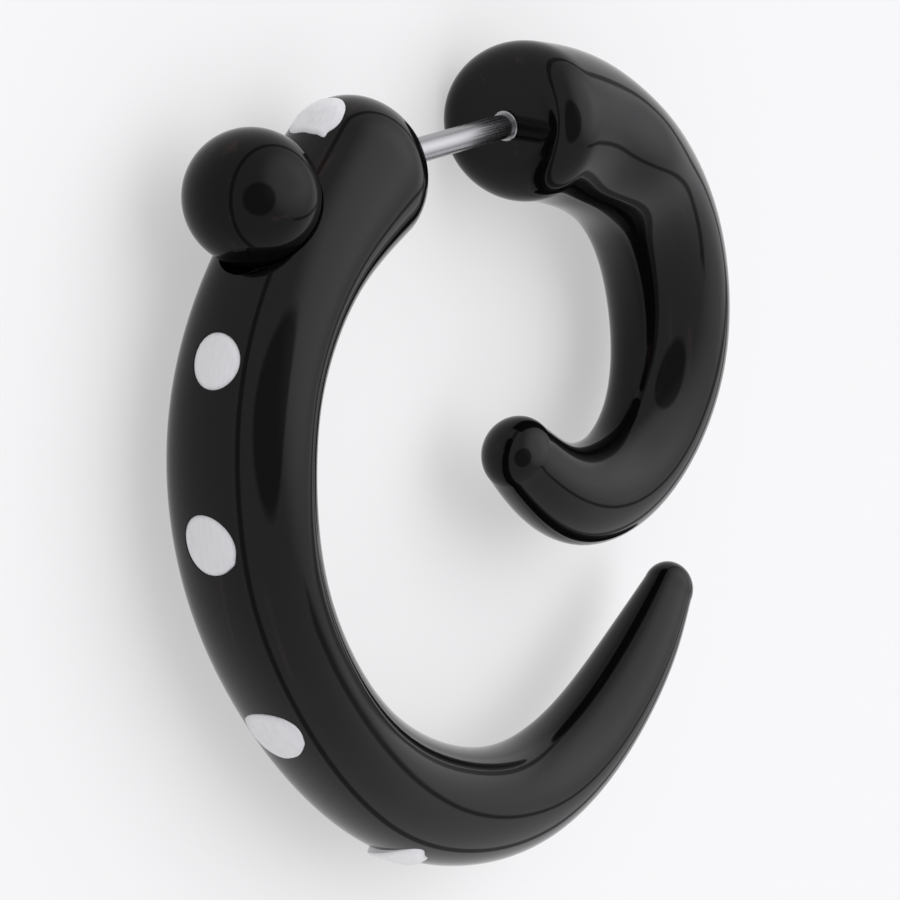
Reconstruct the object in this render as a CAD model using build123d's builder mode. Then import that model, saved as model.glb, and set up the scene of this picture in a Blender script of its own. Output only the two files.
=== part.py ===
"""Fake gauge talon earring.

A thin steel post passes through the ear lobe. In front of the lobe it carries a C-shaped
talon of black horn with white bone pegs let into its outer face, kept on by a black ball.
Behind the lobe it ends in the head of a smaller black hook.

Frame: +X runs along the post from the ball to the hook, +Y is up when the earring is worn,
+Z is the side that faces up when the earring lies on its side. The origin is on the post,
halfway along the gap that the lobe fills. Sizes are in millimetres.
"""

import os
from math import cos, radians, sin

from build123d import *

# Gap that the lobe fills, along the post
lobe_gap = 8.6

# Steel post, with a thin shoulder let into the hook's flat face
post_diameter = 1.2
post_end_chamfer = 0.15
shoulder_diameter = 1.5
shoulder_proud = 0.15
shoulder_sunk = 0.2
post_in_hook = 5.0
post_in_ball = 3.2

# Clearances, each measured on one side
running_clearance = 0.05
glue_clearance = 0.02
inlay_clearance = 0.03
ball_clearance = 0.1

# Ball screwed on the post's front end, sunk a little way into the talon's outer face
ball_diameter = 6.0
ball_sink = 1.5

# Talon: reach and drop of its centre line from the centre of its head, and its widest
# section in the plane of the C and across it
talon_reach = 35.5
talon_drop = 35.3
talon_depth = 7.4
talon_breadth = 7.7
talon_head_dome = 3.4
talon_head_below_post = 0.3
talon_tip_dome = 1.55

# Hook: reach and drop of its centre line from the centre of its flat face, and its widest
# section in the plane of the C and across it
hook_reach = 15.15
hook_drop = 21.3
hook_depth = 8.0
hook_breadth = 8.6
hook_face_above_post = 0.35
hook_face_rim = 1.8
hook_tip_dome = 1.85

# Bone pegs let into the talon's outer face
inlay_diameter = 3.0
inlay_depth = 1.1

# Thin core that finds where a line meets the talon's outer face
probe_diameter = 0.06

# Sections of the talon from its head to its tip. Across and down place a section's centre
# as shares of the reach and the drop. Depth is the size in the plane of the C and breadth
# the size across it, as shares of the widest section.
TALON_SECTIONS = [
    # across, down, depth, breadth
    (0.000, 0.000, 1.010, 0.865),
    (-0.065, 0.039, 0.905, 0.875),
    (-0.126, 0.084, 0.825, 0.890),
    (-0.182, 0.146, 0.780, 0.905),
    (-0.225, 0.226, 0.755, 0.925),
    (-0.246, 0.322, 0.745, 0.945),
    (-0.234, 0.480, 0.735, 0.915),
    (-0.173, 0.632, 0.730, 0.885),
    (-0.076, 0.772, 0.770, 0.850),
    (0.048, 0.886, 0.825, 0.820),
    (0.188, 0.963, 0.815, 0.795),
    (0.341, 0.999, 0.775, 0.720),
    (0.480, 0.982, 0.740, 0.640),
    (0.597, 0.930, 0.680, 0.575),
    (0.690, 0.866, 0.585, 0.475),
    (0.751, 0.812, 0.465, 0.355),
]

# Sections of the hook from its flat face to its tip, in the same columns. The first one lies
# in front of the face and is trimmed off.
HOOK_SECTIONS = [
    # across, down, depth, breadth
    (-0.200, 0.000, 1.000, 1.045),
    (0.000, 0.008, 1.000, 1.045),
    (0.180, 0.028, 0.985, 0.985),
    (0.360, 0.068, 0.975, 0.945),
    (0.548, 0.136, 0.910, 0.980),
    (0.748, 0.240, 0.845, 0.900),
    (0.908, 0.390, 0.835, 0.830),
    (0.990, 0.580, 0.835, 0.785),
    (0.978, 0.755, 0.850, 0.715),
    (0.868, 0.896, 0.820, 0.635),
    (0.640, 0.990, 0.755, 0.580),
    (0.392, 0.986, 0.695, 0.550),
    (0.190, 0.916, 0.590, 0.510),
    (0.013, 0.807, 0.495, 0.430),
]

# Where each bone peg sits, as a share of the talon's centre line, then its diameter and how
# far it sits off the plane of the C, both as shares of the largest peg's diameter
INLAYS = [
    # place, diameter, off_plane
    (0.004, 0.910, -0.090),
    (0.163, 0.820, 0.070),
    (0.266, 0.930, 0.070),
    (0.412, 1.000, 0.060),
    (0.590, 0.940, 0.070),
]

# Angles, from the last full section to the apex, at which a rounded end is sectioned
DOME_ANGLES = (25, 50, 70)


def section_plane(point, tangent):
    """Plane across the horn: its x lies in the plane of the C, its y along the frame's Z."""
    return Plane(origin=point, x_dir=Vector(-tangent.Y, tangent.X, 0), z_dir=tangent)


def horn_section(point, tangent, depth, breadth):
    """One oval section of a horn."""
    with BuildSketch(section_plane(point, tangent)) as section:
        Ellipse(depth / 2, breadth / 2)
    return section.sketch


def end_sections(point, outward, depth, breadth, length):
    """Apex of a rounded end, and the shrinking sections between it and the last full one."""
    sections = [Vertex(*(point + outward * length))]
    for angle in reversed(DOME_ANGLES):
        share = cos(radians(angle))
        centre = point + outward * (length * sin(radians(angle)))
        sections.append(horn_section(centre, outward, depth * share, breadth * share))
    return sections


def horn(start, reach, drop, depth, breadth, rows, start_dome, end_dome):
    """Centre line of a horn and its solid, rounded at both ends."""
    points = [start + Vector(row[0] * reach, -row[1] * drop, 0) for row in rows]
    sizes = [(row[2] * depth, row[3] * breadth) for row in rows]
    with BuildLine(Plane.XY) as line:
        Spline(*points)
    centre_line = line.edges()[0]
    sections = end_sections(points[0], -(centre_line % 0), *sizes[0], start_dome)
    for point, size in zip(points, sizes):
        sections.append(horn_section(point, centre_line.tangent_at(point), *size))
    sections += reversed(end_sections(points[-1], centre_line % 1, *sizes[-1], end_dome))
    with BuildPart() as body:
        loft(sections=sections)
    return centre_line, body.part


# Centres of the talon's head and the hook's flat face
head_centre = Vector(-lobe_gap / 2 - talon_head_dome, -talon_head_below_post, 0)
face_centre = Vector(lobe_gap / 2, hook_face_above_post, 0)

# Whole talon, before it is drilled
talon_line, whole_talon = horn(
    head_centre, talon_reach, talon_drop, talon_depth, talon_breadth, TALON_SECTIONS,
    talon_head_dome, talon_tip_dome,
)

# Where the post's axis leaves the talon's outer face
with BuildPart() as axis_core:
    with Locations(Location((0, 0, 0), (0, -90, 0))):
        Cylinder(probe_diameter / 2, talon_reach, align=(Align.CENTER, Align.CENTER, Align.MIN))
    add(whole_talon, mode=Mode.INTERSECT)
outer_face_x = axis_core.part.bounding_box().min.X
ball_radius = ball_diameter / 2
ball_centre_x = outer_face_x - ball_radius + ball_sink
post_front_x = ball_centre_x + ball_radius - post_in_ball
post_back_x = lobe_gap / 2 + post_in_hook

# Ball
with BuildPart() as end_ball:
    with Locations((ball_centre_x, 0, 0)):
        Sphere(ball_radius)
    with BuildSketch(Plane.YZ.offset(post_front_x - running_clearance)):
        Circle(post_diameter / 2 + running_clearance)
    extrude(amount=ball_diameter, mode=Mode.SUBTRACT)
end_ball.part.label = "end_ball"

# Post
with BuildPart() as post:
    with BuildSketch(Plane.YZ.offset(post_front_x)):
        Circle(post_diameter / 2)
    extrude(amount=post_back_x - post_front_x)
    chamfer(post.faces().sort_by(Axis.X)[0].edges(), post_end_chamfer)
    with BuildSketch(Plane.YZ.offset(lobe_gap / 2 - shoulder_proud)):
        Circle(shoulder_diameter / 2)
    extrude(amount=shoulder_proud + shoulder_sunk)
post.part.label = "post"

# Front talon, drilled for the post, with pockets for the pegs and a seat for the ball, open
# along the post so that the ball comes off
inlay_planes = []
inlay_radii = []
for place, diameter, off_plane in INLAYS:
    tangent = talon_line % place
    outward = Vector(tangent.Y, -tangent.X, 0)
    centre = talon_line @ place + Vector(0, 0, off_plane * inlay_diameter)
    inlay_planes.append(Plane(origin=centre, z_dir=outward))
    inlay_radii.append(inlay_diameter * diameter / 2)


def outer_height(plane):
    """Distance from the centre line to the talon's outer face along a plane's normal."""
    with BuildPart() as probe:
        with BuildSketch(plane):
            Circle(probe_diameter / 2)
        extrude(amount=talon_depth)
        add(whole_talon, mode=Mode.INTERSECT)
    return max((vertex.center() - plane.origin).dot(plane.z_dir) for vertex in probe.vertices())


peg_bottoms = [outer_height(plane) - inlay_depth for plane in inlay_planes]

with BuildPart() as front_talon:
    add(whole_talon)
    with BuildSketch(Plane.YZ.offset(ball_centre_x)):
        Circle(post_diameter / 2 + running_clearance)
    extrude(amount=-ball_centre_x, mode=Mode.SUBTRACT)
    with Locations((ball_centre_x, 0, 0)):
        Sphere(ball_radius + ball_clearance, mode=Mode.SUBTRACT)
    with BuildSketch(Plane.YZ.offset(ball_centre_x)):
        Circle(ball_radius + ball_clearance)
    extrude(amount=-ball_diameter, mode=Mode.SUBTRACT)
    for plane, bottom, radius in zip(inlay_planes, peg_bottoms, inlay_radii):
        with BuildSketch(plane.offset(bottom - inlay_clearance)):
            Circle(radius + inlay_clearance)
        extrude(amount=talon_depth, mode=Mode.SUBTRACT)
front_talon.part.label = "front_talon"

# Bone pegs, flush with the talon's outer face
inlays = []
for number, (plane, bottom, radius) in enumerate(
        zip(inlay_planes, peg_bottoms, inlay_radii), start=1):
    with BuildPart() as inlay:
        with BuildSketch(plane.offset(bottom)):
            Circle(radius)
        extrude(amount=talon_depth)
        add(whole_talon, mode=Mode.INTERSECT)
    inlay.part.label = f"inlay_{number}"
    inlays.append(inlay)

# Back hook, cut flat at its face, with a rounded rim, and drilled for the post
hook_line, whole_hook = horn(
    face_centre, hook_reach, hook_drop, hook_depth, hook_breadth, HOOK_SECTIONS,
    hook_tip_dome, hook_tip_dome,
)
with BuildPart() as back_hook:
    add(whole_hook)
    with BuildSketch(Plane(face_centre, x_dir=(0, 1, 0), z_dir=(-1, 0, 0))):
        Circle(hook_breadth)
    extrude(amount=hook_reach, mode=Mode.SUBTRACT)
    face = back_hook.faces().filter_by(GeomType.PLANE).sort_by(Axis.X)[0]
    fillet(face.edges(), hook_face_rim)
    with BuildSketch(Plane.YZ.offset(lobe_gap / 2)):
        Circle(post_diameter / 2 + glue_clearance)
    extrude(amount=post_in_hook + glue_clearance, mode=Mode.SUBTRACT)
    with BuildSketch(Plane.YZ.offset(lobe_gap / 2)):
        Circle(shoulder_diameter / 2 + glue_clearance)
    extrude(amount=shoulder_sunk + glue_clearance, mode=Mode.SUBTRACT)
back_hook.part.label = "back_hook"

os.makedirs("parts", exist_ok=True)
for piece in [front_talon, back_hook, post, end_ball, *inlays]:
    export_step(piece.part, f"parts/{piece.part.label}.step")
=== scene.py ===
"""Looks of the fake gauge talon earring, dressed around its CAD frame.

The frame is the part's own: +X runs along the post from the ball to the hook, +Y is up when the
earring is worn and +Z is up as it lies here. Lengths in the tables of sizes are in millimetres,
and MM turns them into metres where a mesh is made.
"""
from math import cos, exp, pi, radians, sin

import bmesh
import bpy
import numpy as np
from mathutils import Matrix, Vector
from mathutils.bvhtree import BVHTree


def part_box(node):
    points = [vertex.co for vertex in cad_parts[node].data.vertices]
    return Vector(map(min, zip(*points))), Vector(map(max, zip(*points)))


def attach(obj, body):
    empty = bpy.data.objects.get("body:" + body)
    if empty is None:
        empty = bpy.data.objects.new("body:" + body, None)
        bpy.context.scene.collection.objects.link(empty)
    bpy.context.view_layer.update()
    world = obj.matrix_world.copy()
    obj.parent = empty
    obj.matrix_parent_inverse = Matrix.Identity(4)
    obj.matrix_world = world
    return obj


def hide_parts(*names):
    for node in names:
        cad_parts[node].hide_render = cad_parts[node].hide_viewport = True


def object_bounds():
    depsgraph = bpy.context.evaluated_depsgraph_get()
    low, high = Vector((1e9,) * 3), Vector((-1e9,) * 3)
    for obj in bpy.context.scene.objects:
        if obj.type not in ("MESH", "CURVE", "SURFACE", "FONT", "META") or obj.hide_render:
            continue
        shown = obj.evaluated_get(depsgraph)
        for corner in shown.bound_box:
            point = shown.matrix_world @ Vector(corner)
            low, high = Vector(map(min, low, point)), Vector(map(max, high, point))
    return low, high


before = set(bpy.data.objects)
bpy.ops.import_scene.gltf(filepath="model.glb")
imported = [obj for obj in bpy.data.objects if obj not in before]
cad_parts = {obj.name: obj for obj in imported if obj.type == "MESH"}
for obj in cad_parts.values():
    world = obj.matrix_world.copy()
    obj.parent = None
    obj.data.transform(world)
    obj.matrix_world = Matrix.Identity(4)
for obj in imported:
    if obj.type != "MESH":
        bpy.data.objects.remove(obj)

cad_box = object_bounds()

MM = 0.001

# Camera, in the part's frame
CAMERA_PLACE = Vector((-90.7, 20.35, 67.1)) * MM
CAMERA_TARGET = Vector((-1.23, -15.05, 0.0)) * MM
CAMERA_UP = Vector((0.2643, 0.9526, -0.1504))
SENSOR_WIDTH = 36.0
LENS = 96.0

# Driving sizes of the horns, as in the part's source
LOBE_GAP = 8.6
TALON_REACH = 35.5
TALON_DROP = 35.3
TALON_DEPTH = 7.4
TALON_BREADTH = 7.7
TALON_HEAD_DOME = 3.4
TALON_HEAD_BELOW_POST = 0.3
TALON_TIP_DOME = 1.55
HOOK_REACH = 15.15
HOOK_DROP = 21.3
HOOK_DEPTH = 8.0
HOOK_BREADTH = 8.6
HOOK_FACE_ABOVE_POST = 0.35
HOOK_FACE_RIM = 1.8
HOOK_TIP_DOME = 1.85

# How far the hook's face drops towards the floor, and where along the hook that ends
HOOK_FACE_LEAN = 0.25
HOOK_LEAN_REACH = 7.0

# Post, its shoulder and the bores that take it
POST_RADIUS = 0.6
POST_EDGE = 0.1
SHOULDER_RADIUS = 0.75
SHOULDER_PROUD = 0.15
SHOULDER_SUNK = 0.2
SHOULDER_EDGE = 0.04
POST_IN_HOOK = 5.0
RUNNING_CLEARANCE = 0.05
GLUE_CLEARANCE = 0.02
BALL_CLEARANCE = 0.1

# Bone pegs, whose edges fall away by INLAY_EDGE from the share of the radius INLAY_EDGE_FROM
INLAY_DIAMETER = 3.0
INLAY_DEPTH = 1.1
INLAY_CLEARANCE = 0.012
INLAY_EDGE = 0.07
INLAY_EDGE_FROM = 0.9

TALON_SECTIONS = [
    # across, down, depth, breadth
    (0.000, 0.000, 1.010, 0.865),
    (-0.065, 0.039, 0.905, 0.875),
    (-0.126, 0.084, 0.825, 0.890),
    (-0.182, 0.146, 0.780, 0.905),
    (-0.225, 0.226, 0.755, 0.925),
    (-0.246, 0.322, 0.745, 0.945),
    (-0.234, 0.480, 0.735, 0.915),
    (-0.173, 0.632, 0.730, 0.885),
    (-0.076, 0.772, 0.770, 0.850),
    (0.048, 0.886, 0.825, 0.820),
    (0.188, 0.963, 0.815, 0.795),
    (0.341, 0.999, 0.775, 0.720),
    (0.480, 0.982, 0.740, 0.640),
    (0.597, 0.930, 0.680, 0.575),
    (0.690, 0.866, 0.585, 0.475),
    (0.751, 0.812, 0.465, 0.355),
]

HOOK_SECTIONS = [
    # across, down, depth, breadth
    (0.000, 0.008, 1.000, 1.045),
    (0.180, 0.028, 0.985, 0.985),
    (0.360, 0.068, 0.975, 0.945),
    (0.548, 0.136, 0.910, 0.980),
    (0.748, 0.240, 0.845, 0.900),
    (0.908, 0.390, 0.835, 0.830),
    (0.990, 0.580, 0.835, 0.785),
    (0.978, 0.755, 0.850, 0.715),
    (0.868, 0.896, 0.820, 0.635),
    (0.640, 0.990, 0.755, 0.580),
    (0.392, 0.986, 0.695, 0.550),
    (0.190, 0.916, 0.590, 0.510),
    (0.013, 0.807, 0.495, 0.430),
]

# Each peg as in the part's source, then how far it stands proud and how far its face tilts, as
# shares of the largest peg's diameter, and the angle in degrees where the face is highest
INLAYS = [
    # name, place, diameter, off_plane, proud, tilt, highest_at
    ("inlay_1", 0.004, 0.910, -0.090, 0.030, 0.000, 0),
    ("inlay_2", 0.163, 0.820, 0.070, 0.007, 0.000, 0),
    ("inlay_3", 0.266, 0.930, 0.070, 0.007, 0.000, 0),
    ("inlay_4", 0.412, 1.000, 0.060, 0.045, 0.000, 0),
    ("inlay_5", 0.590, 0.940, 0.070, 0.080, 0.070, 262),
]

# Where a peg's outline leaves the round: angle and width in degrees, and share of the radius
PEG_MARKS = [
    # peg, angle, width, share
    ("inlay_1", 0, 34, -0.24),
    ("inlay_1", 44, 7, 0.16),
    ("inlay_1", 270, 35, 0.12),
    ("inlay_3", 60, 9, 0.035),
    ("inlay_4", 75, 8, 0.02),
    ("inlay_4", 20, 16, -0.03),
    ("inlay_4", 140, 45, 0.21),
    ("inlay_5", 60, 9, 0.07),
    ("inlay_5", 132, 48, 0.40),
    ("inlay_5", 86, 16, -0.08),
]

# Waves of every peg's outline, as shares of its radius
PEG_OVAL = 0.012
PEG_THREE_SIDED = 0.008

# Mesh density
LINE_SAMPLES = 4001
RING_STEP = 0.33
RING_POINTS = 120
DOME_RINGS = 22
RIM_RINGS = 10
LATHE_STEPS = 128
BALL_RINGS = 72
PEG_POINTS = 120
PEG_RINGS = 8
FACE_SHARES = (0.15, 0.35, 0.6, 0.8, 0.93)

# Angles in degrees above which an edge stays sharp
SHARP_ANGLE = 40
PEG_SHARP_ANGLE = 50
POST_SHARP_ANGLE = 30

# How far a cutter starts in front of the face that it cuts
CUTTER_LEAD = 1.0


def mesh_object(name, vertices, faces, smooth_angle=SHARP_ANGLE):
    """New object from vertices in millimetres, smooth but for edges sharper than the angle."""
    mesh = bpy.data.meshes.new(name)
    mesh.from_pydata([tuple(Vector(v) * MM) for v in vertices], [], faces)
    mesh.validate()
    work = bmesh.new()
    work.from_mesh(mesh)
    bmesh.ops.recalc_face_normals(work, faces=work.faces)
    work.to_mesh(mesh)
    work.free()
    piece = bpy.data.objects.new(name, mesh)
    bpy.context.scene.collection.objects.link(piece)
    smooth(piece, smooth_angle)
    return piece


def smooth(piece, angle):
    """Smooth shading with sharp edges above the angle, in degrees."""
    mesh = piece.data
    mesh.shade_smooth()
    mesh.set_sharp_from_angle(angle=radians(angle))


def ring_faces(first, second, count):
    """Quads between two rings of vertices that start at the given numbers."""
    return [
        (first + k, first + (k + 1) % count, second + (k + 1) % count, second + k)
        for k in range(count)
    ]


def skin(name, rings, start_apex, end_apex, smooth_angle=SHARP_ANGLE):
    """Closed object through rings of equally many points, each end closed by an apex."""
    count = len(rings[0])
    vertices = [point for ring in rings for point in ring]
    faces = []
    for number in range(len(rings) - 1):
        faces += ring_faces(number * count, (number + 1) * count, count)
    for apex, start in ((start_apex, 0), (end_apex, (len(rings) - 1) * count)):
        tip = len(vertices)
        vertices.append(apex)
        faces += [(start + k, start + (k + 1) % count, tip) for k in range(count)]
    return mesh_object(name, vertices, faces, smooth_angle)


def natural_spline(knots, values):
    """Second derivatives, at the knots, of the natural cubic spline through the values."""
    count = len(knots)
    steps = np.diff(knots)
    matrix = np.eye(count)
    right = np.zeros_like(values)
    for k in range(1, count - 1):
        matrix[k, k - 1:k + 2] = steps[k - 1], 2 * (steps[k - 1] + steps[k]), steps[k]
        rise = (values[k + 1] - values[k]) / steps[k]
        right[k] = 6 * (rise - (values[k] - values[k - 1]) / steps[k - 1])
    return np.linalg.solve(matrix, right)


def spline_at(knots, values, bends, where):
    """Values of that spline at the places in where."""
    k = np.clip(np.searchsorted(knots, where) - 1, 0, len(knots) - 2)
    step = knots[k + 1] - knots[k]
    after = ((where - knots[k]) / step)[:, None]
    before = 1 - after
    step = step[:, None]
    curve = (before ** 3 - before) * bends[k] + (after ** 3 - after) * bends[k + 1]
    return before * values[k] + after * values[k + 1] + curve * step ** 2 / 6


def oval(half_depth, half_breadth):
    """Evenly spaced points of a section outline, as columns of depth and breadth."""
    angles = np.linspace(0, 2 * pi, 8 * RING_POINTS + 1)
    x = half_depth * np.cos(angles)
    y = half_breadth * np.sin(angles)
    length = np.concatenate([[0], np.cumsum(np.hypot(np.diff(x), np.diff(y)))])
    even = np.arange(RING_POINTS) / RING_POINTS * length[-1]
    return np.stack([np.interp(even, length, x), np.interp(even, length, y)], 1)


class Horn:
    """Centre line of a horn, with the depth and breadth of its section all along it.

    A lean lowers its start towards the floor, fading out along HOOK_LEAN_REACH.
    """

    def __init__(self, start, reach, drop, depth, breadth, rows, lean=0.0):
        table = np.array(rows)
        self.lean = lean
        values = np.stack([
            start[0] + table[:, 0] * reach,
            start[1] - table[:, 1] * drop,
            table[:, 2] * depth,
            table[:, 3] * breadth,
        ], 1)
        chords = np.hypot(*np.diff(values[:, :2], axis=0).T)
        knots = np.concatenate([[0], np.cumsum(chords)])
        bends = natural_spline(knots, values)
        dense = np.linspace(0, knots[-1], LINE_SAMPLES)
        found = spline_at(knots, values, bends, dense)
        self.length = np.concatenate([[0], np.cumsum(np.hypot(*np.diff(found[:, :2], axis=0).T))])
        self.values = found

    def at(self, distance):
        """Centre, tangent, outward normal and section sizes at a distance along the line."""
        row = [np.interp(distance, self.length, column) for column in self.values.T]
        near = [np.interp(distance + s, self.length, column)
                for s in (-0.02, 0.02) for column in self.values.T[:2]]
        tangent = Vector((near[2] - near[0], near[3] - near[1], 0)).normalized()
        outward = Vector((tangent.y, -tangent.x, 0))
        return Vector((row[0], row[1], 0)), tangent, outward, row[2], row[3]

    def ring(self, distance, share=1.0, along=0.0, inset=0.0):
        """Points of the section at a distance, scaled, shifted along the tangent or drawn in."""
        centre, tangent, outward, depth, breadth = self.at(distance)
        outline = oval(depth / 2 * share - inset, breadth / 2 * share - inset)
        fade = max(0.0, 1 - distance / HOOK_LEAN_REACH)
        centre = centre + tangent * along - Vector((0, 0, self.lean * fade ** 2))
        return [centre + outward * float(a) + Vector((0, 0, float(b))) for a, b in outline]

    def body_rings(self, first):
        """Sections from a distance along the line to its end."""
        count = int((self.length[-1] - first) / RING_STEP)
        return [self.ring(d) for d in np.linspace(first, self.length[-1], count)]

    def dome_rings(self, at_end, length):
        """Shrinking sections of a rounded end, from the full one outwards, and its apex."""
        distance = self.length[-1] if at_end else 0.0
        way = 1 if at_end else -1
        rings = []
        for k in range(1, DOME_RINGS):
            angle = pi / 2 * k / DOME_RINGS
            rings.append(self.ring(distance, cos(angle), way * length * sin(angle)))
        centre, tangent = self.at(distance)[:2]
        return rings, centre + tangent * (way * length)


def cylinder(name, centre, axis, radius, start, end, outline=None):
    """Cylinder along an axis from start to end, or a prism on an outline of radius shares."""
    turn = Vector(axis).to_track_quat("Z", "Y")
    rings = []
    for height in (start, end):
        ring = []
        for k in range(PEG_POINTS):
            angle = 2 * pi * k / PEG_POINTS
            reach = radius * (outline[k] if outline else 1)
            ring.append(centre + turn @ Vector((reach * cos(angle), reach * sin(angle), height)))
        rings.append(ring)
    ends = [centre + turn @ Vector((0, 0, height)) for height in (start, end)]
    return skin(name, rings, ends[0], ends[1])


def lathe(name, profile, smooth_angle=SHARP_ANGLE):
    """Closed object turned about the X axis, from rows of x and radius, ends on the axis."""
    rings = []
    for x, radius in profile[1:-1]:
        ring = []
        for k in range(LATHE_STEPS):
            angle = 2 * pi * k / LATHE_STEPS
            ring.append(Vector((x, radius * cos(angle), radius * sin(angle))))
        rings.append(ring)
    apexes = [Vector((profile[k][0], 0, 0)) for k in (0, -1)]
    return skin(name, rings, apexes[0], apexes[1], smooth_angle)


def carve(piece, cutters):
    """Cuts each cutter out of the piece and deletes it."""
    for cutter in cutters:
        cut = piece.modifiers.new("cut", "BOOLEAN")
        cut.operation = "DIFFERENCE"
        cut.solver = "EXACT"
        cut.object = cutter
    bpy.context.view_layer.update()
    shape = piece.evaluated_get(bpy.context.evaluated_depsgraph_get())
    carved = bpy.data.meshes.new_from_object(shape)
    piece.modifiers.clear()
    piece.data = carved
    for cutter in cutters:
        bpy.data.objects.remove(cutter)
    smooth(piece, SHARP_ANGLE)


def grain_coordinates(piece, horn):
    """Stores where each vertex lies in the horn as if it were straight: along, deep, across."""
    points = np.array([v.co for v in piece.data.vertices]) / MM
    line = horn.values[::20, :2]
    length = horn.length[::20]
    nearest = np.empty(len(points), int)
    for start in range(0, len(points), 4096):
        gap = points[start:start + 4096, None, :2] - line[None]
        nearest[start:start + 4096] = (gap ** 2).sum(2).argmin(1)
    tangent = np.gradient(line, axis=0)
    tangent /= np.linalg.norm(tangent, axis=1)[:, None]
    offset = points[:, :2] - line[nearest]
    along = length[nearest] + (offset * tangent[nearest]).sum(1)
    deep = offset[:, 0] * tangent[nearest, 1] - offset[:, 1] * tangent[nearest, 0]
    grain = piece.data.attributes.new("grain", "FLOAT_VECTOR", "POINT")
    grain.data.foreach_set("vector", np.stack([along, deep, points[:, 2]], 1).ravel())


class Nodes:
    """Short way to add and link nodes of one tree."""

    def __init__(self, tree):
        self.tree = tree
        tree.nodes.clear()

    def add(self, kind, inputs=None, **settings):
        node = self.tree.nodes.new(kind)
        for key, value in settings.items():
            setattr(node, key, value)
        for key, value in (inputs or {}).items():
            if isinstance(value, bpy.types.NodeSocket):
                self.tree.links.new(value, node.inputs[key])
            else:
                node.inputs[key].default_value = value
        return node

    def math(self, operation, *values, clamp=False):
        inputs = dict(enumerate(values))
        return self.add("ShaderNodeMath", inputs, operation=operation, use_clamp=clamp).outputs[0]

    def smooth_range(self, value, low, high, to_low=0.0, to_high=1.0):
        inputs = {"Value": value, "From Min": low, "From Max": high,
                  "To Min": to_low, "To Max": to_high}
        return self.add("ShaderNodeMapRange", inputs, interpolation_type="SMOOTHSTEP").outputs[0]

    def dot(self, vector, fixed):
        inputs = {0: vector, 1: fixed}
        node = self.add("ShaderNodeVectorMath", inputs, operation="DOT_PRODUCT")
        return node.outputs["Value"]

    def noise(self, vector, scale, detail=2.0, roughness=0.5):
        inputs = {"Vector": vector, "Scale": scale, "Detail": detail, "Roughness": roughness}
        return self.add("ShaderNodeTexNoise", inputs).outputs["Fac"]

    def stretched(self, vector, scale):
        inputs = {"Vector": vector, "Scale": scale}
        return self.add("ShaderNodeMapping", inputs).outputs["Vector"]

    def colours(self, factor, low, high):
        inputs = {"Factor": factor, "A": (*low, 1), "B": (*high, 1)}
        return self.add("ShaderNodeMix", inputs, data_type="RGBA")


def direction(azimuth, elevation):
    """Unit vector, with azimuth from +X towards +Y and elevation from the floor."""
    a, e = radians(azimuth), radians(elevation)
    return Vector((cos(a) * cos(e), sin(a) * cos(e), sin(e)))


# Black horn
HORN_BLACK = (0.0022, 0.0021, 0.0023)
HORN_BROWN = (0.014, 0.008, 0.006)
HORN_GLOSS = 0.183
BALL_GLOSS = 0.129
HORN_ROUGHNESS = (0.035, 0.085)


def horn_material(name, coordinate, gloss):
    material = bpy.data.materials.new(name)
    material.use_nodes = True
    n = Nodes(material.node_tree)
    if coordinate == "grain":
        place = n.add("ShaderNodeAttribute", attribute_name="grain").outputs["Vector"]
    else:
        metres = n.add("ShaderNodeTexCoord").outputs["Object"]
        place = n.stretched(metres, (1 / MM, 1 / MM, 1 / MM))
    fibre = n.noise(n.stretched(place, (0.06, 1.1, 1.1)), 1.0, 4.0, 0.6)
    streak = n.smooth_range(fibre, 0.58, 0.78)
    base = n.colours(streak, HORN_BLACK, HORN_BROWN).outputs["Result"]
    wear = n.noise(place, 1.3, 5.0, 0.65)
    roughness = n.smooth_range(wear, 0.35, 0.75, *HORN_ROUGHNESS)
    wave = n.noise(n.stretched(place, (0.16, 0.34, 0.34)), 1.0, 1.0)
    scratch = n.noise(n.stretched(place, (2.2, 34.0, 34.0)), 1.0, 2.0)
    hairline = n.smooth_range(scratch, 0.66, 0.74)
    relief = n.math("ADD", n.math("MULTIPLY", wave, 0.02), n.math("MULTIPLY", hairline, -0.0004))
    bump = n.add("ShaderNodeBump", {"Height": relief, "Distance": MM, "Strength": 0.5})
    shader = n.add("ShaderNodeBsdfPrincipled", {
        "Base Color": base, "Roughness": roughness, "Normal": bump.outputs["Normal"],
        "IOR": 1.5, "Specular IOR Level": gloss,
    })
    n.add("ShaderNodeOutputMaterial", {"Surface": shader.outputs[0]})
    return material


# Bone's own tone, with random pores towards BONE_GREY; near each peg's rim the bone also greys
# towards BONE_GREY as painted shade at its edge
BONE_PALE = (0.70, 0.70, 0.71)
BONE_GREY = (0.56, 0.56, 0.57)


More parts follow.
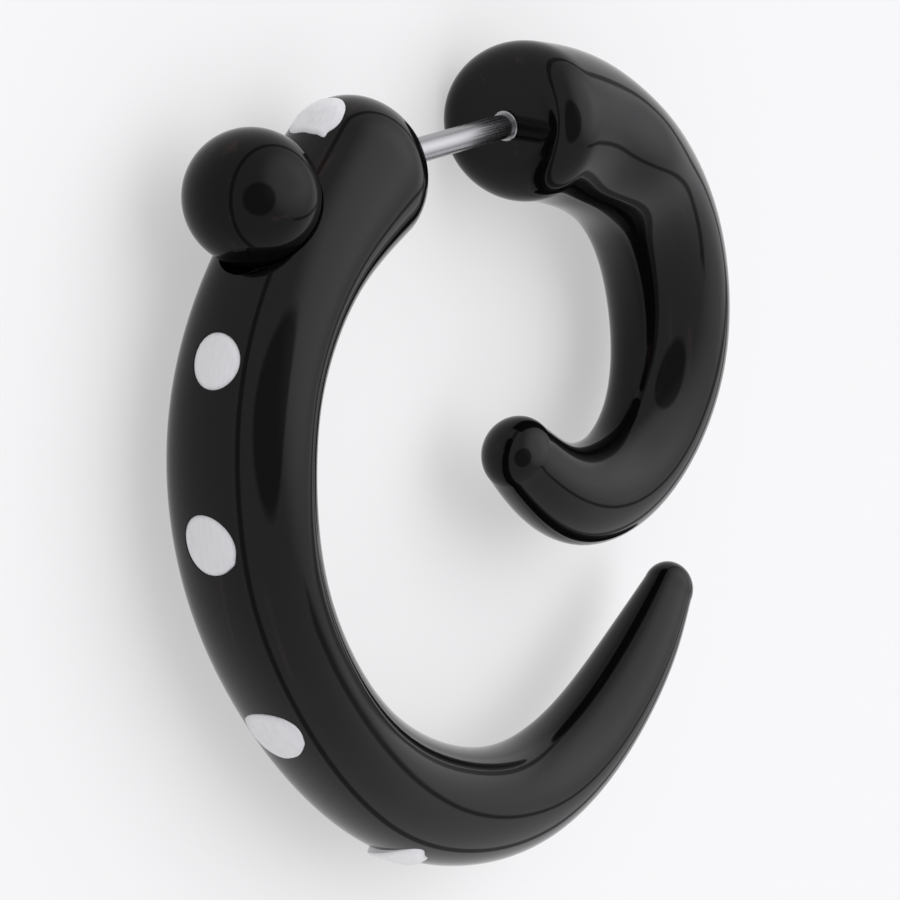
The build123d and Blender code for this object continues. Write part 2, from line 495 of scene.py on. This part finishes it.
def bone_material():
    material = bpy.data.materials.new("bone_peg")
    material.use_nodes = True
    n = Nodes(material.node_tree)
    metres = n.add("ShaderNodeTexCoord").outputs["Object"]
    place = n.stretched(metres, (1 / MM, 1 / MM, 1 / MM))
    pore = n.noise(n.stretched(place, (3.0, 0.9, 9.0)), 1.0, 4.0, 0.6)
    # Painted shade: the rim attribute greys the bone towards BONE_GREY near each peg's edge,
    # standing in for the shading there; the pores add the bone's own uneven tone
    rim = n.add("ShaderNodeAttribute", attribute_name="rim").outputs["Fac"]
    edge = n.smooth_range(rim, 0.80, 1.0)
    pores_and_painted_rim_shade = n.math("ADD", n.smooth_range(pore, 0.35, 0.8, 0.0, 0.45),
                   n.math("MULTIPLY", edge, 0.5), clamp=True)
    base = n.colours(pores_and_painted_rim_shade, BONE_PALE, BONE_GREY).outputs["Result"]
    roughness = n.smooth_range(pore, 0.3, 0.8, 0.28, 0.42)
    bump = n.add("ShaderNodeBump", {"Height": pore, "Distance": 0.01 * MM, "Strength": 0.6})
    shader = n.add("ShaderNodeBsdfPrincipled", {
        "Base Color": base, "Roughness": roughness, "Normal": bump.outputs["Normal"],
        "Specular IOR Level": 0.35,
    })
    n.add("ShaderNodeOutputMaterial", {"Surface": shader.outputs[0]})
    return material


STEEL_PALE = (0.40, 0.40, 0.41)
STEEL_DARK = (0.28, 0.28, 0.29)


def steel_material():
    material = bpy.data.materials.new("post_steel")
    material.use_nodes = True
    n = Nodes(material.node_tree)
    metres = n.add("ShaderNodeTexCoord").outputs["Object"]
    place = n.stretched(metres, (1 / MM, 1 / MM, 1 / MM))
    drawn = n.noise(n.stretched(place, (0.25, 14.0, 14.0)), 1.0, 3.0, 0.6)
    base = n.colours(drawn, STEEL_DARK, STEEL_PALE).outputs["Result"]
    roughness = n.smooth_range(drawn, 0.3, 0.8, 0.20, 0.34)
    bump = n.add("ShaderNodeBump", {"Height": drawn, "Distance": 0.002 * MM, "Strength": 0.5})
    shader = n.add("ShaderNodeBsdfPrincipled", {
        "Base Color": base, "Metallic": 1.0, "Roughness": roughness,
        "Normal": bump.outputs["Normal"],
    })
    n.add("ShaderNodeOutputMaterial", {"Surface": shader.outputs[0]})
    return material


def finish_piece(piece, node, body, material):
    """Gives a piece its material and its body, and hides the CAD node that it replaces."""
    piece.data.materials.clear()
    piece.data.materials.append(material)
    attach(piece, body)
    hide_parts(node)


# Ball, worked out from its CAD node, and the post's ends
ball_low, ball_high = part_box("end_ball")
BALL_RADIUS = (ball_high.z - ball_low.z) / 2 / MM
BALL_CENTRE = Vector((ball_low.x / MM + BALL_RADIUS, 0, 0))
post_low, post_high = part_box("post")
POST_FRONT = post_low.x / MM
POST_BACK = post_high.x / MM


def make_talon():
    start = (-LOBE_GAP / 2 - TALON_HEAD_DOME, -TALON_HEAD_BELOW_POST)
    horn = Horn(start, TALON_REACH, TALON_DROP, TALON_DEPTH, TALON_BREADTH, TALON_SECTIONS)
    head, head_apex = horn.dome_rings(False, TALON_HEAD_DOME)
    tip, tip_apex = horn.dome_rings(True, TALON_TIP_DOME)
    rings = list(reversed(head)) + horn.body_rings(0.0) + tip
    piece = skin("talon_horn", rings, head_apex, tip_apex)
    return piece, horn


def peg_outline(name, number):
    """Slightly uneven outline of a peg with its flats and teeth, as shares of its radius."""
    shares = []
    for k in range(PEG_POINTS):
        angle = 2 * pi * k / PEG_POINTS
        share = 1 + PEG_OVAL * sin(2 * angle + number)
        share += PEG_THREE_SIDED * sin(3 * angle + 2.1 * number)
        for peg, middle, width, height in PEG_MARKS:
            if peg == name:
                away = (angle - radians(middle) + pi) % (2 * pi) - pi
                share += height * exp(-(away / radians(width)) ** 2)
        shares.append(share)
    return shares


def make_pegs(talon, horn):
    """Bone pegs, each with a face that follows the talon's, and the cutters of their pockets."""
    tree = BVHTree.FromObject(talon, bpy.context.evaluated_depsgraph_get())
    pegs, cutters = [], []
    for number, row in enumerate(INLAYS):
        name, place, diameter, off_plane, proud, tilt, highest_at = row
        centre, _, outward = horn.at(place * horn.length[-1])[:3]
        centre = centre + Vector((0, 0, off_plane * INLAY_DIAMETER))
        turn = outward.to_track_quat("Z", "Y")
        radius = INLAY_DIAMETER * diameter / 2
        outline = peg_outline(name, number)
        proud *= INLAY_DIAMETER

        def height(offset):
            """Height of the talon's outer face over the peg's centre plane."""
            origin = (centre + turn @ offset + outward * TALON_DEPTH) * MM
            return TALON_DEPTH - tree.ray_cast(origin, -outward)[3] / MM

        top = height(Vector((0, 0, 0)))
        bottom = top - INLAY_DEPTH
        rings = []
        for share in np.linspace(0, 1, PEG_RINGS + 1)[1:]:
            past = max(0.0, share - INLAY_EDGE_FROM) / (1 - INLAY_EDGE_FROM)
            drop = INLAY_EDGE * past ** 2
            rings.append([(share, drop, k) for k in range(PEG_POINTS)])
        shape = []
        for ring in rings:
            points = []
            for share, drop, k in ring:
                angle = 2 * pi * k / PEG_POINTS
                reach = radius * outline[k] * share
                offset = Vector((reach * cos(angle), reach * sin(angle), 0))
                lift = proud + tilt * INLAY_DIAMETER * share * cos(angle - radians(highest_at))
                up = height(offset) + lift - drop
                points.append(centre + turn @ offset + outward * up)
            shape.append(points)
        foot = []
        for k in range(PEG_POINTS):
            angle = 2 * pi * k / PEG_POINTS
            reach = radius * outline[k]
            foot.append(centre + turn @ Vector((reach * cos(angle), reach * sin(angle), bottom)))
        shape.append(foot)
        face_centre = centre + outward * (top + proud)
        peg = skin(name + "_bone", shape, face_centre, centre + outward * bottom,
                   PEG_SHARP_ANGLE)
        # The rim attribute holds each vertex's share of the peg's radius, the mask for the bone's
        # painted shade at its edge
        rim = peg.data.attributes.new("rim", "FLOAT", "POINT")
        shares = [share for ring in rings for share, drop, k in ring]
        shares += [1.0] * PEG_POINTS + [0.0, 1.0]
        rim.data.foreach_set("value", shares)
        pegs.append((peg, name))
        cutters.append(cylinder(
            "cutter", centre, outward, radius + INLAY_CLEARANCE, bottom - INLAY_CLEARANCE,
            TALON_DEPTH, outline))
    return pegs, cutters


def make_ball():
    """Ball with a bore for the post, turned about the post's axis."""
    bore = POST_RADIUS + RUNNING_CLEARANCE
    mouth = np.arcsin(bore / BALL_RADIUS)
    profile = [(BALL_CENTRE.x - BALL_RADIUS, 0)]
    for angle in np.linspace(0, pi - mouth, BALL_RINGS)[1:]:
        profile.append((BALL_CENTRE.x - BALL_RADIUS * cos(angle), BALL_RADIUS * sin(angle)))
    inner = POST_FRONT - RUNNING_CLEARANCE
    profile += [(inner, bore), (inner, 0)]
    return lathe("screw_ball", profile)


def make_post():
    """Round post with a chamfered front end and a shoulder at the hook's face."""
    face = LOBE_GAP / 2
    profile = [
        (POST_FRONT, 0),
        (POST_FRONT, POST_RADIUS - POST_EDGE),
        (POST_FRONT + POST_EDGE, POST_RADIUS),
        (face - SHOULDER_PROUD, POST_RADIUS),
        (face - SHOULDER_PROUD, SHOULDER_RADIUS - SHOULDER_EDGE),
        (face - SHOULDER_PROUD + SHOULDER_EDGE, SHOULDER_RADIUS),
        (face + SHOULDER_SUNK, SHOULDER_RADIUS),
        (face + SHOULDER_SUNK, POST_RADIUS),
        (POST_BACK, POST_RADIUS),
        (POST_BACK, 0),
    ]
    return lathe("ear_post", profile, POST_SHARP_ANGLE)


def make_hook():
    """Hook with a flat face, a rounded rim, and the bore and seat that take the post."""
    start = (LOBE_GAP / 2, HOOK_FACE_ABOVE_POST)
    horn = Horn(start, HOOK_REACH, HOOK_DROP, HOOK_DEPTH, HOOK_BREADTH, HOOK_SECTIONS,
                HOOK_FACE_LEAN)
    rings = []
    edge = horn.ring(0.0, inset=HOOK_FACE_RIM)
    centre = horn.at(0.0)[0]
    for share in FACE_SHARES:
        rings.append([centre.lerp(point, share) for point in edge])
    for k in range(RIM_RINGS + 1):
        angle = pi / 2 * k / RIM_RINGS
        rings.append(horn.ring(HOOK_FACE_RIM * (1 - cos(angle)),
                               inset=HOOK_FACE_RIM * (1 - sin(angle))))
    tip, tip_apex = horn.dome_rings(True, HOOK_TIP_DOME)
    rings += horn.body_rings(HOOK_FACE_RIM + RING_STEP) + tip
    piece = skin("hook_horn", rings, centre, tip_apex)
    face = LOBE_GAP / 2
    bore = cylinder("bore", Vector((face, 0, 0)), (1, 0, 0), POST_RADIUS + GLUE_CLEARANCE,
                    -CUTTER_LEAD, POST_IN_HOOK + GLUE_CLEARANCE)
    seat = cylinder("seat", Vector((face, 0, 0)), (1, 0, 0), SHOULDER_RADIUS + GLUE_CLEARANCE,
                    -CUTTER_LEAD, SHOULDER_SUNK + GLUE_CLEARANCE)
    carve(piece, [bore, seat])
    return piece, horn


def talon_cutters():
    """Bore for the post and seat for the ball, which opens along the post."""
    bore = cylinder("bore", BALL_CENTRE, (1, 0, 0), POST_RADIUS + RUNNING_CLEARANCE,
                    0.0, -BALL_CENTRE.x)
    rings = []
    for angle in np.linspace(0, pi, BALL_RINGS)[1:-1]:
        radius = (BALL_RADIUS + BALL_CLEARANCE) * sin(angle)
        x = BALL_CENTRE.x - (BALL_RADIUS + BALL_CLEARANCE) * cos(angle)
        ring = []
        for k in range(LATHE_STEPS):
            turn = 2 * pi * k / LATHE_STEPS
            ring.append(Vector((x, radius * cos(turn), radius * sin(turn))))
        rings.append(ring)
    reach = Vector((BALL_RADIUS + BALL_CLEARANCE, 0, 0))
    seat = skin("seat", rings, BALL_CENTRE - reach, BALL_CENTRE + reach)
    mouth = cylinder("mouth", BALL_CENTRE, (-1, 0, 0), BALL_RADIUS + BALL_CLEARANCE, 0.0,
                     2 * BALL_RADIUS)
    return [bore, seat, mouth]


# Studio: an even tent, brighter above the hook, a dark seam where it meets the floor and
# the dark round opening that the camera looks through
TENT_COLOUR = (0.98, 0.98, 1.01, 1)
FILL = 1.02
KEY = 1.62
KEY_FROM = direction(45, 60)
KEY_SPREAD = (0.6, 1.0)
SEAM_UP = Vector((0.045, 0.026, 1.0)).normalized()
SEAM_HEIGHT = 0.075
SEAM_HALF_WIDTH = 0.035
SEAM_SOFTNESS = 0.035
SEAM_SHADE = 0.3
PANEL_SIDE = Vector((0.208, 0.866, 0.454)).normalized()
PANEL_EDGE = 0.03
PANEL_SOFTNESS = 0.05
PANEL_HALF_WIDTH = 0.012
PANEL_FROM = direction(-28, 28)
PANEL_ANGLE = 34
PANEL_FADE = 14
OPENING_FROM = direction(167, 53)
OPENING_ANGLE = 27
OPENING_SOFTNESS = 3
OPENING_SHADE = 0.32
FLOOR_SIZE = 1.2
FLOOR_GLOW = 0.46
FLOOR_WHITE = 0.36


def make_world():
    world = bpy.data.worlds.new("tent")
    world.use_nodes = True
    bpy.context.scene.world = world
    n = Nodes(world.node_tree)
    way = n.add("ShaderNodeTexCoord").outputs["Generated"]
    side = n.math("SUBTRACT", n.dot(way, PANEL_SIDE), PANEL_EDGE)
    key = n.smooth_range(n.dot(way, KEY_FROM), *KEY_SPREAD, 0.0, KEY)
    light = n.math("ADD", n.math("MULTIPLY", key, n.smooth_range(side, 0.0, PANEL_SOFTNESS)), FILL)

    def seam_line(distance, half_width):
        """Dark line where the distance from a seam is small."""
        return n.smooth_range(n.math("ABSOLUTE", distance), half_width,
                              half_width + SEAM_SOFTNESS, SEAM_SHADE, 1.0)

    floor_seam = seam_line(n.math("SUBTRACT", n.dot(way, SEAM_UP), SEAM_HEIGHT), SEAM_HALF_WIDTH)
    away = n.smooth_range(n.dot(way, PANEL_FROM), cos(radians(PANEL_ANGLE)),
                          cos(radians(PANEL_ANGLE - PANEL_FADE)), 1.0, 0.0)
    panel_seam = n.math("MAXIMUM", away, seam_line(side, PANEL_HALF_WIDTH))
    seam = n.math("MULTIPLY", floor_seam, panel_seam)
    near = n.dot(way, OPENING_FROM)
    opening = n.smooth_range(near, cos(radians(OPENING_ANGLE + OPENING_SOFTNESS)),
                             cos(radians(OPENING_ANGLE - OPENING_SOFTNESS)), 1.0, OPENING_SHADE)
    strength = n.math("MULTIPLY", n.math("MULTIPLY", light, seam), opening)
    background = n.add("ShaderNodeBackground", {"Color": TENT_COLOUR, "Strength": strength})
    n.add("ShaderNodeOutputWorld", {"Surface": background.outputs[0]})


def make_floor():
    level = cad_box[0].z
    half = FLOOR_SIZE / 2
    mesh = bpy.data.meshes.new("floor")
    corners = [(-half, -half), (half, -half), (half, half), (-half, half)]
    mesh.from_pydata([(x, y, level) for x, y in corners], [], [(0, 1, 2, 3)])
    floor = bpy.data.objects.new("floor", mesh)
    bpy.context.scene.collection.objects.link(floor)
    material = bpy.data.materials.new("pale_floor")
    material.use_nodes = True
    n = Nodes(material.node_tree)
    shader = n.add("ShaderNodeBsdfPrincipled", {
        "Base Color": (FLOOR_WHITE, FLOOR_WHITE, FLOOR_WHITE, 1), "Roughness": 0.9,
        "Specular IOR Level": 0.0, "Emission Color": (1, 1, 1, 1), "Emission Strength": FLOOR_GLOW,
    })
    n.add("ShaderNodeOutputMaterial", {"Surface": shader.outputs[0]})
    mesh.materials.append(material)


def make_camera():
    data = bpy.data.cameras.new("camera")
    data.sensor_width = SENSOR_WIDTH
    data.lens = LENS
    data.clip_start = 0.001
    camera = bpy.data.objects.new("camera", data)
    bpy.context.scene.collection.objects.link(camera)
    back = (CAMERA_PLACE - CAMERA_TARGET).normalized()
    right = CAMERA_UP.cross(back).normalized()
    up = back.cross(right)
    turn = Matrix((right, up, back)).transposed().to_4x4()
    camera.matrix_world = Matrix.Translation(CAMERA_PLACE) @ turn
    bpy.context.scene.camera = camera


make_camera()
make_world()
make_floor()

talon, talon_line = make_talon()
pegs, pockets = make_pegs(talon, talon_line)
carve(talon, talon_cutters() + pockets)
grain_coordinates(talon, talon_line)
hook, hook_line = make_hook()
grain_coordinates(hook, hook_line)

horn_finish = horn_material("horn_polished", "grain", HORN_GLOSS)
ball_finish = horn_material("horn_ball", "object", BALL_GLOSS)
finish_piece(talon, "front_talon", "talon", horn_finish)
finish_piece(hook, "back_hook", "post_and_hook", horn_finish)
finish_piece(make_ball(), "end_ball", "ball", ball_finish)
finish_piece(make_post(), "post", "post_and_hook", steel_material())
bone_finish = bone_material()
for peg, name in pegs:
    finish_piece(peg, name, "talon", bone_finish)

bpy.context.scene.view_settings.view_transform = "Standard"
